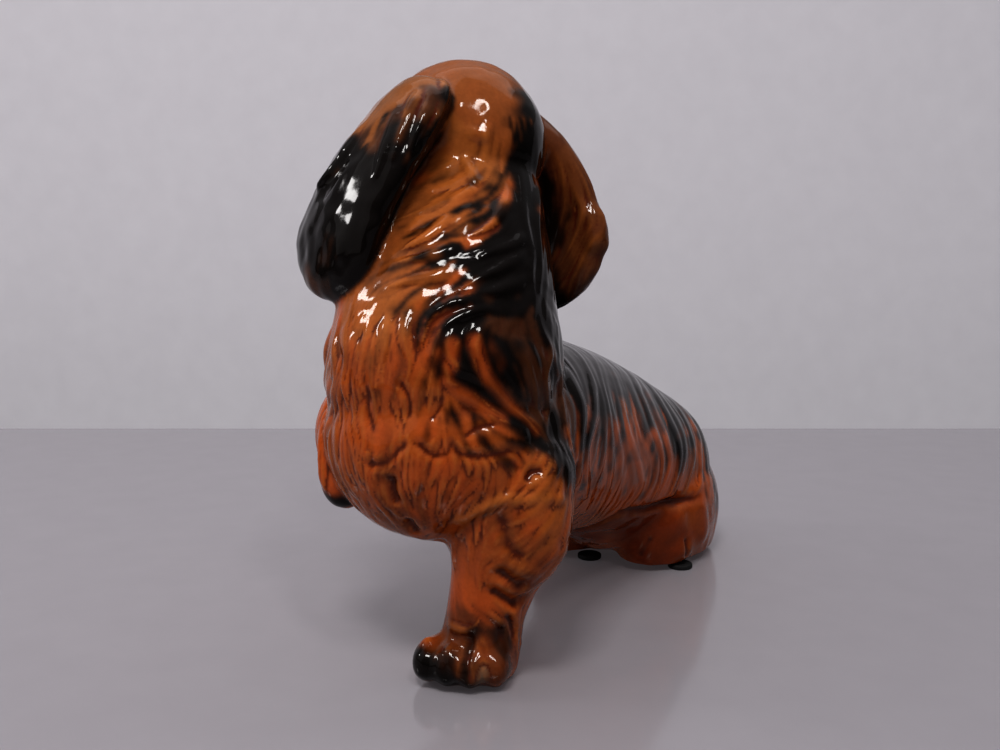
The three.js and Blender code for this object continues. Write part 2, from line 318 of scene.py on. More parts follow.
FAR_EAR_TRESSES = [
    ([(8, 32, 144), (14, 35, 134), (15, 36, 124), (12, 38, 114), (10, 38, 106)], 1.5, 1.1),
    ([(14, 34, 138), (18, 36, 127), (20, 37, 120), (17, 37, 111), (12, 36, 103)], 1.5, 1.2),
    ([(19, 38, 128), (24, 39, 118), (22, 37, 110), (18, 36, 102), (13, 38, 94)], 1.5, 1.2),
    ([(8, 34, 136), (9, 36, 128), (9, 38, 120), (8, 38, 110)], 1.4, 0.9),
]
LEG_TRESSES = [
    ([(34, -4, 58), (34, -12, 50), (30, -17, 46), (26, -19, 44)], 1.6, 0.9),
    ([(36, -6, 50), (35, -12, 44), (31, -16, 39), (28, -18, 37)], 1.7, 0.9),
    ([(36, -5, 43), (34, -12, 38), (31, -15, 34), (27, -17, 31)], 1.7, 0.9),
    ([(34, -6, 37), (32, -12, 31), (28, -14, 27), (24, -16, 26)], 1.6, 0.9),
    ([(20, -17, 27), (24, -15, 25), (25, -11, 19), (24, -7, 11)], 1.2, 1.3),
    ([(18, -18, 23), (21, -16, 21), (23, -13, 17), (24, -11, 11)], 1.0, 0.9),
]
CUFF = ([(5, -14, 15), (8, -16, 16), (12, -17, 16), (16, -17, 16), (18, -17, 19)], 1.4, 1.1)

# Creases cut into the clay: guide points (mm), half width, depth.
CREASES = [
    ([(-5, -32, 59), (2, -32, 60), (6, -32, 64), (9, -31, 66)], 1.2, 0.3),
    ([(9, -31, 66), (14, -30, 62), (17, -28, 63), (17, -27, 67)], 1.2, 0.3),
    ([(17, -27, 66), (18, -27, 63), (23, -23, 62), (28, -16, 63)], 1.3, 0.4),
    ([(5, -31, 80), (8, -30, 75), (7, -31, 70)], 0.9, 0.22),
    ([(-3, -32, 78), (-4, -32, 72), (-1, -32, 66)], 1.0, 0.28),
    ([(12, -29, 70), (15, -28, 74), (15, -28, 77)], 0.9, 0.22),
    ([(19, -26, 66), (22, -23, 69), (25, -20, 69)], 0.9, 0.22),
    ([(16, -17, 15), (16, -18, 11), (17, -21, 8), (18, -21, 3)], 1.2, 1.4),
    ([(8, -19, 12), (11, -22, 9), (13, -23, 4)], 0.9, 0.8),
    ([(22, -13, 17), (22, -13, 12)], 1.6, 0.9),
    ([(19, -20, 3), (18.6, -19.5, 7), (20, -18, 9), (21.6, -17, 7), (22, -17, 3)], 0.5, 0.6),
    ([(25, -19, 48), (26, -19, 45), (27, -19, 41), (28, -18, 38), (31, -16, 36)], 2.2, 1.1),
    ([(24, -18, 34), (26, -16, 30), (28, -12, 28)], 2.2, 1.1),
    ([(21, -18, 28), (24, -15, 25), (26, -11, 22)], 2.0, 1.1),
    ([(23, -13, 21), (24, -10, 16), (24, -9, 12)], 0.9, 0.9),
    ([(3, -32, 57), (2, -31, 53), (3, -29, 49)], 1.8, 1.6),
    ([(4, -27, 46), (4, -22, 41)], 1.4, 1.2),
    ([(30, 101, 12), (30, 103, 3)], 1.4, 1.2),
    ([(22, 90, 14), (17, 90, 5)], 1.6, 0.8),
    ([(2, 66, 17), (10, 65, 21), (19, 68, 26), (23, 84, 25), (28, 100, 25), (32, 114, 24)], 2.0, 2.0),
    ([(33, -12, 57), (31, -14, 58), (31, -16, 55)], 1.2, 1.0),
    ([(-20, -16, 134), (-26, -19, 128), (-30, -18, 122)], 3.0, 0.9),
]
# Rounded swellings: guide points (mm), reach, rise.
SWELLINGS = [
    ([(33, -10, 58), (33, -12, 54)], 4.5, 0.9),
    ([(16, -22, 46), (21, -21, 49), (26, -19, 51), (31, -15, 51), (35, -8, 50)], 2.4, 1.0),
    ([(30, 90, 15), (31, 96, 19)], 9, 1.2),
    ([(16, 64, 14), (22, 70, 18), (24, 82, 16)], 8, 1.6),
    ([(24, 38, 119), (25, 38, 113)], 6, 1.6),
    ([(33, 112, 12), (33, 110, 20)], 7, 0.9),
    ([(4, -19, 12), (4, -19, 12)], 3.0, 0.9),
    ([(5, -22, 8), (6, -22, 5)], 4.2, 0.9),
    ([(12, -20, 11), (14, -22, 6)], 3.4, 0.8),
    ([(19, -16, 13), (20, -18, 6)], 3.2, 0.8),
    ([(29, -17, 34), (32, -14, 32)], 3.4, 1.0),
    ([(25, -16, 29), (29, -12, 27)], 2.8, 0.8),
    ([(4, 1, 140), (8, 2, 139)], 2.6, 0.8),
    ([(9, 3, 141), (9, 2, 134)], 1.9, 0.7),
    ([(4, 0, 133), (9, -3, 127)], 2.0, 0.8),
    ([(9, -5, 125), (6, -9, 122)], 2.0, 0.8),
]


def on_face(ahead, side, height):
    """A place on the face: millimetres ahead of the skull's middle, to its left, and up from the table."""
    at = SKULL_AT + FACING * ahead + FACE_SIDE * side
    return (at[0], at[1], height)


def both_sides(path):
    """A path on the face, given as (ahead, side, height), and its mirror image."""
    return [[on_face(a, s * sign, h) for a, s, h in path] for sign in (1, -1)]


# Places on the face: millimetres ahead, to the side and up.
EYE = (20, 12.5, 141)
MOUTH = [(59, 3, 127), (50, 8.5, 127), (38, 11, 126), (28, 14, 127.5), (24, 15.5, 130)]
NOSTRIL = [(62, 1.5, 135), (61, 3.2, 134), (59.5, 3.8, 133)]
NOSE_RIM = [(56.5, 5.5, 137), (57, 6.6, 133.5), (59, 5, 130.5)]
BROW = [(13, 7, 151), (19, 10, 149), (22, 14, 146)]
CHEEK = [(12, 17, 136), (22, 15, 133)]
EYE_CREASE = [(15, 12, 145), (20, 11, 145.5), (24, 11, 143.5)]


def flipped(paths):
    """Paths mirrored to the dog's right."""
    return [([(-x, y, z) for x, y, z in path], *rest) for path, *rest in paths]


def mirrored(flow):
    """Flow guides, and the same on the dog's right."""
    return flow + [((-x, y, z), (-dx, dy, dz)) for (x, y, z), (dx, dy, dz) in flow]


def strands_between(tresses, spacing=8.0, samples=7):
    """Neighbouring tresses joined by more in between, no two alike, each starting near the spine."""
    rows = []
    for path, width, height in tresses:
        points = np.array(path, float)
        t = np.linspace(0, len(points) - 1, samples)
        columns = [np.interp(t, range(len(points)), column) for column in points.T]
        rows.append((np.stack(columns, 1), width, height))
    middle = samples // 2
    strands = []
    for (a, width, height), (b, _, _) in zip(rows[:-1], rows[1:]):
        count = max(1, round(np.linalg.norm(b[middle] - a[middle]) / spacing))
        for k in range(count):
            path = a + (b - a) * (k + rng.uniform(-0.25, 0.25)) / count
            path[:, 1] += rng.uniform(-1.3, 1.3, len(path))
            parting = (2 * np.sign(path[middle][0]), path[0][1] - 12, path[0][2] + 8)
            wide = width * rng.uniform(0.7, 1.4)
            tall = height * rng.uniform(0.6, 1.3)
            strands.append(([parting, *path], wide, tall))
    return strands


def along_tresses(tresses):
    """Flow guides from the middle of each span of some tresses."""
    guides = []
    for path, *_ in tresses:
        points = np.array(path, float)
        guides += [((a + b) / 2, b - a) for a, b in zip(points[:-1], points[1:])]
    return guides


FRONT_TRESSES = (NECK_TRESSES + NAPE_TRESSES + CHEST_TRESSES + CHEST_LOBES + SHOULDER_TRESSES
                 + BREAST_TRESSES)
FRONT_FLOW = along_tresses(FRONT_TRESSES)
FLANK_FLOW = along_tresses(FLANK_TRESSES + flipped(FLANK_TRESSES))
RIGHT_SHOULDER_FLOW = along_tresses(flipped(SHOULDER_TRESSES))
RAISED_FLOW = [
    ((-28, -4, 68), (-0.4, -0.7, -0.4)), ((-30, -14, 56), (0, 0, -1)), ((-25, -18, 42), (0.1, -0.1, -1)),
]
EAR_BACK_FLOW = [((4, 47, 132), (0, 0.2, -1)), ((9, 50, 112), (-0.1, 0, -1))]
SHIN_FLOW = [
    ((34, 0, 60), (0.1, -0.2, -1)), ((20, -20, 46), (-0.1, 0, -1)), ((18, -18, 30), (-0.1, 0, -1)),
    ((12, -14, 12), (0, -0.5, -0.8)), ((10, 4, 36), (0, 0.3, -1)), ((14, -20, 40), (-0.1, 0, -1)),
]
FLOWS = {
    "torso": mirrored(TRUNK_FLOW) + FAR_NECK_FLOW + FRONT_FLOW + FLANK_FLOW + RIGHT_SHOULDER_FLOW,
    "head": FAR_NECK_FLOW + CROWN_FLOW + FRONT_FLOW,
    "left_ear": along_tresses(NEAR_EAR_FOLDS),
    "right_ear": along_tresses(FAR_EAR_TRESSES) + EAR_BACK_FLOW,
    "left_foreleg": SHIN_FLOW + along_tresses(LEG_TRESSES),
    "right_foreleg": RAISED_FLOW,
    "left_hindleg": HIND_FLOW,
    "right_hindleg": mirrored(HIND_FLOW),
    "tail": TAIL_FLOW,
}


# Points blended at a time, which bounds the memory.
BATCH = 20000


def flow_field(skin, label, normal, waviness):
    """The way the hair lies at each point: the guides nearby, blended, and laid flat on the skin."""
    flow = np.zeros_like(skin.p)
    for i, name in enumerate(CERAMIC):
        mine = np.flatnonzero(label == i)
        places = np.array([g[0] for g in FLOWS[name]], float)
        ways = unit(np.array([g[1] for g in FLOWS[name]], float))
        for part in np.array_split(mine, max(1, len(mine) // BATCH)):
            d2 = ((skin.p[part, None, :] - places[None]) ** 2).sum(2)
            weight = 1 / (d2 + 9) ** 2
            flow[part] = (weight @ ways) / weight.sum(1, keepdims=True)
    wobble = value_noise(skin.p / 7, 1) - 0.5
    side = np.cross(normal, unit(flow))
    flow = unit(flow) + side * (wobble * waviness)[:, None]
    for _ in range(3):
        flow = skin.relax(flow, 4)
        flow = unit(flow - (flow * normal).sum(1, keepdims=True) * normal)
    return flow


# ---- Locks of hair ----
# Under the tresses the coat grows by rule. Half width, length, height (mm), grooves, waviness by region.
REGIONS = {
    "throat": (2.0, 20, 0.4, 1, 1.0),
    "nape": (1.8, 26, 0.6, 1, 0.5),
    "chest": (1.7, 20, 1.15, 2, 1.2),
    "breast": (1.15, 12, 0.75, 1, 1.6),
    "shoulder": (1.7, 20, 1.1, 2, 1.0),
    "flank": (1.8, 34, 0.35, 2, 0.45),
    "underside": (1.6, 18, 0.7, 2, 0.6),
    "thigh": (3.4, 20, 0.30, 1, 0.6),
    "near_ear": (3.2, 40, 0.15, 1, 0.3),
    "far_ear": (1.4, 24, 0.9, 2, 0.6),
    "shin": (0.8, 18, 0.22, 1, 0.3),
    "feathering": (1.4, 12, 0.7, 2, 0.8),
    "tail": (1.9, 26, 1.0, 2, 0.6),
}
REGION_NAMES = list(REGIONS)


def find_regions(skin, label):
    """Which region of the coat each point is in, from its casting and its place."""
    x, y, z = skin.p.T
    out = np.zeros(len(x), int)

    def claim(where, name):
        out[where] = REGION_NAMES.index(name)

    def of(*names):
        return np.isin(label, [CERAMIC.index(n) for n in names])

    torso, head = of("torso"), of("head")
    claim(torso, "flank")
    claim(torso & (y > 12) & (z < 24), "underside")
    claim(torso & (y < 12) & (y > -13), "shoulder")
    claim(torso & ((y <= -13) | ((x < 0) & (y < 4))), "chest")
    claim(torso & (z < 60) & (y < 2), "breast")
    claim(head, "throat")
    claim(head & (y > -6 + 0.12 * (146 - z)) & (x > 6), "nape")
    claim(head & (y > 14), "nape")
    claim(of("left_ear"), "near_ear")
    claim(of("right_ear"), "far_ear")
    claim(of("left_hindleg", "right_hindleg"), "thigh")
    claim(of("left_foreleg", "right_foreleg"), "shin")
    claim(of("left_foreleg") & (x > 26 - 0.1 * z), "feathering")
    claim(of("tail"), "tail")
    return out


# A line along the left haunch, which the coat leaves smooth.
HAUNCH = [(14, 62, 8), (24, 68, 15), (28, 84, 13), (32, 100, 12), (32, 114, 12)]


def below_belly(p):
    """1 behind and beneath the lower edge of the belly's hair, where the haunches are smooth."""
    edge = 19 + 0.45 * np.clip(np.abs(p[:, 0]) - 5, 0, 16)
    return smooth(p[:, 1], 56, 64) * smooth(edge - p[:, 2], -1.5, 1.5) * smooth(-p[:, 1], -138, -126)


def calm(p):
    """How little hair there is: 1 where the modelling is smooth (crown, face, paws), 0 in the coat."""
    muzzle = (p - SKULL_AT) @ FACING
    crown = smooth(p[:, 2], 138, 146) * (np.abs((p - SKULL_AT) @ FACE_SIDE) < 40)
    face = smooth(muzzle, 4, 12) * (p[:, 2] > 118)
    paw = smooth(-p[:, 2], -19, -13) * (p[:, 1] < 20)
    mirror = np.abs(p * (1, 0, 0)) + p * (0, 1, 1)
    haunch = np.maximum(smooth(-path_distance(mirror, HAUNCH), -12, -9), below_belly(p))
    return np.clip(np.maximum.reduce([crown, face, paw, haunch]), 0, 1)


class Coat:
    """Raises hair on the skin. A higher lock covers a lower one; a listed tress covers both."""

    # The side of the cubes that the points are sorted into (mm).
    cell = 5.0

    def __init__(self, skin, normal, flow):
        self.skin, self.normal, self.flow = skin, normal, flow
        self.height = np.zeros(len(skin.p))
        self.extra = np.zeros(len(skin.p))
        self.tone = np.full(len(skin.p), 0.5)
        self.taken = np.zeros(len(skin.p), bool)
        self.tree = kdtree.KDTree(len(skin.p))
        for i, p in enumerate(skin.p):
            self.tree.insert(p, i)
        self.tree.balance()
        key = self.key(np.floor(skin.p / self.cell).astype(int))
        self.order = np.argsort(key, kind="stable")
        self.sorted = key[self.order]

    @staticmethod
    def key(cell):
        """One number for each cell of a grid over the dog."""
        return (cell[..., 0] + 64) * 65536 + (cell[..., 1] + 64) * 256 + (cell[..., 2] + 64)

    def near(self, line, reach):
        """Points of the skin in the grid cells that a line passes near."""
        cells = set()
        for p in line:
            low = np.floor((p - reach) / self.cell).astype(int)
            high = np.floor((p + reach) / self.cell).astype(int)
            for i in range(low[0], high[0] + 1):
                for j in range(low[1], high[1] + 1):
                    cells.update((i, j, k) for k in range(low[2], high[2] + 1))
        keys = self.key(np.array(sorted(cells)))
        starts = np.searchsorted(self.sorted, keys)
        ends = np.searchsorted(self.sorted, keys + 1)
        return np.concatenate([self.order[s:e] for s, e in zip(starts, ends)])

    def trace(self, start, length, step=2.6):
        """A line of points from start, following the flow over the skin."""
        at = self.tree.find(start)[1]
        line = [self.skin.p[at]]
        normals = [self.normal[at]]
        for _ in range(max(3, round(length / step))):
            ahead = line[-1] + self.flow[at] * step
            at = self.tree.find(ahead)[1]
            line.append(ahead - self.normal[at] * ((ahead - self.skin.p[at]) @ self.normal[at]))
            normals.append(self.normal[at])
        return np.array(line), np.array(normals)

    def lay(self, path, step=1.5):
        """A smooth line through guide points, laid down on the skin."""
        points = np.array(path, float)
        points = np.vstack([2 * points[0] - points[1], points, 2 * points[-1] - points[-2]])
        line = []
        for k in range(1, len(points) - 2):
            a, b, c, d = points[k - 1:k + 3]
            count = max(2, round(np.linalg.norm(c - b) / step))
            t = np.linspace(0, 1, count, endpoint=False)[:, None]
            squared = (2 * a - 5 * b + 4 * c - d) * t ** 2
            cubed = (3 * b - a - 3 * c + d) * t ** 3
            line.append(0.5 * (2 * b + (c - a) * t + squared + cubed))
        line = np.vstack(line + [points[-2:-1]])
        found = [self.tree.find(p)[1] for p in line]
        return eased(self.skin.p[found]), self.normal[found]

    def measure(self, line, normals, reach):
        """Points within reach of a line: which, how far along (0 to 1), and how far across it (mm)."""
        mine = self.near(line, reach)
        p = self.skin.p[mine]
        best = np.full(len(p), 1e9)
        along = np.zeros(len(p))
        across = np.zeros(len(p))
        span = np.zeros(len(p), int)
        for k in range(len(line) - 1):
            a, b = line[k], line[k + 1]
            d, t = segment_distance(p, a, b)
            closer = d < best
            side = np.cross(normals[k], unit(b - a))
            best[closer] = d[closer]
            along[closer] = (k + t[closer]) / (len(line) - 1)
            across[closer] = np.copysign(d[closer], (p[closer] - a) @ side)
            span[closer] = k
        facing = (self.normal[mine] * normals[span]).sum(1)
        inside = (best < reach) & (facing > 0.1)
        return mine[inside], along[inside], across[inside]

    def grow(self, line, normals, width, height, grooves, tone):
        """A lock that rises at its root, tapers to its tip and lies over lower ones."""
        mine, along, across = self.measure(line, normals, width * 1.05)
        root = smooth(along, 0, 0.3)
        tip = np.clip((1 - along) / 0.45, 0, 1) ** 0.7
        half = width * (0.4 + 0.6 * root) * tip
        v = across / np.maximum(half, 0.15)
        dome = np.clip(1 - v * v, 0, 1) ** 0.8
        lines = 1 - 0.16 * (0.5 - 0.5 * np.cos(math.pi * grooves * v)) * (np.abs(v) < 1)
        h = height * dome * lines * smooth(along, -0.05, 0.4)
        top = h > self.height[mine]
        self.height[mine[top]] = h[top]
        self.tone[mine[top]] = tone
        self.taken[mine[np.abs(v) < 0.75]] = True

    def cover(self, path, width, height, blunt=False, grooves=2):
        """A tress laid over whatever is there, pointed or with a blunt, scalloped end."""
        line, normals = self.lay(path)
        mine, along, across = self.measure(line, normals, width * 1.15)
        length = np.linalg.norm(np.diff(line, axis=0), axis=1).sum()
        if blunt:
            end = np.clip((1 - along) * length / width, 0, 1)
            round_end = np.sqrt(np.clip(1 - (1 - end) ** 2, 0.02, 1))
            half = width * round_end * (0.6 + 0.4 * smooth(along, 0, 0.4))
            shown = 0.85 * smooth(along, 0.1, 0.8)
        else:
            taper = np.clip((1.04 - along) / 0.5, 0.05, 1) ** 0.75
            half = width * (0.35 + 0.65 * smooth(along, 0, 0.3)) * taper
            shown = smooth(along, 0, 0.25)
        v = across / np.maximum(half, 0.2)
        dome = np.clip(1 - v * v, 0, 1) ** 0.6
        lines = 1 - 0.13 * (0.5 - 0.5 * np.cos(math.pi * grooves * v))
        rise = smooth(along, -0.05, 0.5)
        over = smooth(-np.abs(v), -1.05, -0.8) * shown
        h = (0.35 * height + 0.65 * height * dome * lines) * rise
        self.height[mine] = self.height[mine] * (1 - over) + np.maximum(h, self.height[mine] * 0.25) * over
        tone = rng.uniform(0.1, 0.9)
        if not blunt:
            self.tone[mine[over > 0.5]] = tone

    def carve(self, path, width, depth):
        """A rounded groove that fades at both ends."""
        mine, along, across = self.measure(*self.lay(path), width * 1.6)
        ends = smooth(along, -0.02, 0.18) * smooth(-along, -1.02, -0.8)
        cut = depth * np.exp(-(across / width) ** 2 * 1.6) * ends
        self.extra[mine] = np.minimum(self.extra[mine], -cut)
        self.height[mine] *= 1 - 0.7 * cut / depth

    def swell(self, path, reach, rise):
        """A soft rise around a path."""
        line = np.array(path, float)
        mine = self.near(np.vstack([line, (line[:-1] + line[1:]) / 2]), reach)
        near = 1 - path_distance(self.skin.p[mine], line) / reach
        self.extra[mine] += rise * smooth(near, 0, 0.9)


def eased(line):
    """Takes the small steps out of a line laid on the skin's points."""
    out = line.copy()
    for _ in range(2):
        out[1:-1] = (out[:-2] + 2 * out[1:-1] + out[2:]) / 4
    return out


# Height of each layer of locks (mm).
LAYER = 14


def comb_coat(coat, region, quiet):
    """Fills the coat with locks from the top layer down, each started where no other lies yet."""
    skin = coat.skin
    order = rng.permutation(len(skin.p))
    order = order[np.argsort(-(skin.p[order, 2] // LAYER), kind="stable")]
    for at in order:
        if coat.taken[at] or quiet[at] > 0.8:
            continue
        width, length, height, grooves, _ = REGIONS[REGION_NAMES[region[at]]]
        size = rng.uniform(0.75, 1.3)
        line, normals = coat.trace(skin.p[at], length * rng.uniform(0.6, 1.2))
        tall = height * rng.uniform(0.65, 1.15) * (1 - 0.9 * quiet[at])
        coat.grow(line, normals, width * size, tall, grooves, rng.uniform(0, 1))
        coat.taken[at] = True


# The face, in the order it is worked: what is done, where, how wide and how far (mm).
FACE_WORK = [
    (Coat.carve, MOUTH, 1.0, 1.0),
    (Coat.carve, NOSE_RIM, 0.6, 0.6),
    (Coat.swell, BROW, 5, 1.1),
    (Coat.swell, CHEEK, 8, 0.9),
    (Coat.swell, [EYE, EYE], 3.6, 1.5),
    (Coat.carve, EYE_CREASE, 0.6, 0.7),
    (Coat.carve, NOSTRIL, 0.8, 1.0),
]


def model_by_hand(coat):
    """The tresses, lobes, folds, creases and swellings that give this dog its look."""
    for path, width, height in CHEST_LOBES:
        coat.cover(path, width, height, blunt=True)
    pointed = strands_between(FLANK_TRESSES) + strands_between(flipped(FLANK_TRESSES))
    pointed += BREAST_TRESSES + NECK_TRESSES + NAPE_TRESSES + CHEST_TRESSES
    pointed += SHOULDER_TRESSES + flipped(SHOULDER_TRESSES) + FAR_EAR_TRESSES + LEG_TRESSES
    for path, width, height in pointed:
        coat.cover(path, width, height)
    for path, width, height in NEAR_EAR_FOLDS:
        coat.cover(path, width, height, grooves=0)
    coat.cover(*CUFF, grooves=0)
    for path, width, depth in CREASES:
        coat.carve(path, width, depth)
    for path, reach, rise in SWELLINGS:
        coat.swell(path, reach, rise)
    for work, place, reach, amount in FACE_WORK:
        for path in both_sides(place):
            work(coat, path, reach, amount)


# ---- Glaze colours (linear) ----
CARAMEL = np.array([0.38, 0.138, 0.036])
TAWNY = np.array([0.24, 0.084, 0.024])
ORANGE = np.array([0.345, 0.080, 0.0175])
EMBER = np.array([0.50, 0.110, 0.0230])
RUSSET = np.array([0.135, 0.022, 0.0065])
UMBER = np.array([0.090, 0.033, 0.0140])
BLACK = np.array([0.0070, 0.0046, 0.0038])
NAIL = np.array([0.16, 0.12, 0.085])

# How soft the sprayed edges are at least (mm).
SPRAY_EDGE = 2
# Airbrushed strokes, a few of them painted shade in folds and gaps: colour, points (mm), reach (mm),
# strength, how far strands break the edge (mm), and the one casting that takes the stroke, unless it runs
# over several.
STROKES = [
    (EMBER, [(-6, -32, 66), (6, -31, 58), (14, -30, 60)], 14, 0.22, 6, "torso"),
    (TAWNY, [(-12, 8, 161), (2, 9, 157), (9, 8, 146)], 24, 0.8, 8, "head"),
    (CARAMEL, [(6, -6, 126), (2, -18, 113), (-4, -26, 100)], 15, 0.6, 6),
    # Painted shade: darker brown on the throat under the near ear.
    (UMBER, [(-4, -8, 134), (-6, -18, 118), (-7, -23, 107)], 7, 0.5, 5, "head"),
    (EMBER, [(28, 30, 52), (28, 60, 44), (28, 90, 38)], 16, 0.8, 5, "torso"),
    (EMBER, [(-28, 30, 52), (-28, 60, 44), (-28, 90, 38)], 16, 0.5, 5, "torso"),
    (EMBER, [(13, -20, 46), (14, -19, 34), (14, -18, 22)], 7, 0.4, 3, "left_foreleg"),
    (CARAMEL, [(20, -14, 110), (15, -20, 103)], 5, 0.4, 5),
    (CARAMEL, [(16, -22, 46), (21, -21, 49), (26, -19, 51), (33, -12, 51)], 2.2, 0.6, 1),
    (CARAMEL, [(34, -10, 58), (34, -10, 44)], 6, 0.4, 5, "left_foreleg"),
    (RUSSET, [(4, 66, 8), (16, 66, 12), (24, 74, 14), (26, 88, 12)], 13, 0.62, 3),
    (RUSSET, [(26, 84, 14), (30, 96, 12), (30, 112, 10)], 15, 0.35, 3),
    (RUSSET, [(-4, 66, 8), (-16, 66, 12), (-24, 74, 14), (-30, 96, 12), (-30, 112, 10)], 14, 0.6, 3),
    # Painted shade: dark brown along the standing leg's fold creases.
    (UMBER, [(26, -18, 46), (31, -14, 38), (28, -13, 28)], 5, 0.4, 3),
    # Painted shade: dark brown in the creases down the breast between the forelegs.
    (UMBER, [(2, -31, 55), (4, -26, 45)], 5, 0.5, 6, "torso"),
    (UMBER, [(8, 20, 148), (13, 14, 143)], 7, 0.5, 9, "head"),
    (BLACK, [(14, 19, 144), (15, 18, 137), (16, 13, 129), (20, 6, 119), (24, 2, 109), (26, -2, 99)],
     9, 1, 7),
    (BLACK, [(14, 20, 146), (13, 30, 142)], 6, 0.85, 9, "head"),
    (BLACK, [(18, -4, 114), (20, -8, 106), (21, -11, 101)], 6.0, 1, 9),
    (BLACK, [(24, -14, 93), (26, -12, 86), (28, -10, 79), (29, -6, 72)], 7, 1, 2),
    (BLACK, [(28, -2, 92), (29, -2, 80), (31, -2, 70), (33, -3, 62), (34, 0, 55)], 6.5, 1, 3),
    (BLACK, [(16, -26, 82), (20, -22, 78), (25, -17, 72), (29, -12, 66), (34, -4, 61)], 4.2, 1, 2),
    (BLACK, [(18, -20, 93), (19, -22, 88), (20, -22, 83)], 4.8, 1, 2),
    (UMBER, [(28, 30, 56), (28, 60, 48), (28, 90, 42), (29, 112, 34)], 8, 0.4, 14, "torso"),
    (BLACK, [(28, 2, 94), (14, 38, 88), (8, 60, 84), (6, 90, 76), (6, 120, 64), (4, 148, 40)],
     34, 1, 20),
    (BLACK, [(-16, 18, 94), (-26, 8, 82), (-29, 4, 70)], 9, 0.9, 10),
    (UMBER, [(24, -11, 90), (28, -8, 82), (28, -8, 72)], 5.0, 0.8, 10),
    (UMBER, [(29, 6, 76), (30, 6, 66)], 3.0, 0.8, 9),
    (BLACK, [(-8, -20, 130), (-20, -18, 120), (-26, -22, 104)], 60, 1, 1, "left_ear"),
    (UMBER, [(-2, -9, 149), (-8, -14, 144), (-16, -13, 141)], 8, 0.8, 12, "left_ear"),
    (CARAMEL, [(-6, 4, 159), (-10, -5, 154), (-15, -8, 149), (-22, -9, 144)], 10, 0.6, 12, "left_ear"),
    (UMBER, [(-20, -20, 112), (-24, -22, 101)], 5, 0.35, 6, "left_ear"),
    (UMBER, [(-31, -19, 102), (-30, -20, 100)], 4, 0.8, 1, "left_ear"),
    (UMBER, [(12, 36, 138), (20, 37, 122), (16, 40, 106)], 40, 0.9, 2, "right_ear"),
    (TAWNY, [(16, 36, 134), (22, 38, 122), (22, 38, 110)], 7, 0.34, 10, "right_ear"),
    (BLACK, [(11, 38, 98), (10, 40, 92)], 5.5, 1, 2, "right_ear"),
    (BLACK, [(9, 37, 130), (9, 37, 122), (9, 38, 106)], 4.4, 0.85, 6, "right_ear"),
    (ORANGE, [(20, -22, 89), (22, -20, 80), (25, -15, 73), (28, -9, 66)], 1.4, 0.95, 0.5),
    (ORANGE, [(16, -25, 88), (16, -26, 83)], 1.3, 1, 0.5),
    (ORANGE, [(15, -27, 79), (19, -24, 76), (22, -21, 73), (25, -18, 70)], 1.4, 0.95, 0.5),
    (UMBER, [(17, -18, 8), (8, -20, 10)], 12, 0.72, 5, "left_foreleg"),
    (BLACK, [(3, -22, 7), (7, -23, 5), (10, -24, 3)], 4.6, 1, 1, "left_foreleg"),
    (BLACK, [(11, -22, 8), (13, -23, 4)], 3.6, 0.75, 2, "left_foreleg"),
    (BLACK, [(14, -23, 2), (20, -20, 0)], 3.4, 0.9, 1, "left_foreleg"),
    # Painted shade: black in the grooves between the toes and in the hollow beside the paw.
    (BLACK, [(17, -17, 16), (16, -18, 11), (17, -21, 7)], 1.7, 0.8, 1, "left_foreleg"),
    (BLACK, [(10, -20, 11), (12, -22, 9), (13, -23, 5)], 1.1, 0.6, 0, "left_foreleg"),
    (BLACK, [(22, -13, 16), (24, -12, 12), (25, -11, 7)], 3.4, 0.75, 2, "left_foreleg"),
    (ORANGE, [(4, -19, 13), (3, -18, 12)], 2.4, 0.8, 0, "left_foreleg"),
    (ORANGE, [(19, -16, 13), (19, -17, 10)], 2.0, 0.35, 0, "left_foreleg"),
    (NAIL, [(20, -18, 7), (20, -19, 4)], 1.2, 0.85, 0, "left_foreleg"),
    (EMBER, [(-30, -4, 64), (-28, -14, 52)], 18, 0.9, 3, "right_foreleg"),
    (BLACK, [(-24, -19, 43), (-21, -19, 43), (-28, -18, 44)], 3.2, 1, 0.5, "right_foreleg"),
    (BLACK, [on_face(58, 0, 136), on_face(61, 0, 133)], 6.5, 1, 0, "head"),
    (RUSSET, [on_face(20, 0, 152), on_face(40, 0, 141)], 5, 0.55, 2, "head"),
]
for eye_path in both_sides([EYE, EYE]):
    STROKES.append((BLACK, eye_path, 3.4, 1, 0, "head"))
for mouth_path in both_sides(MOUTH):
    STROKES.append((BLACK, mouth_path, 1.2, 0.9, 0, "head"))


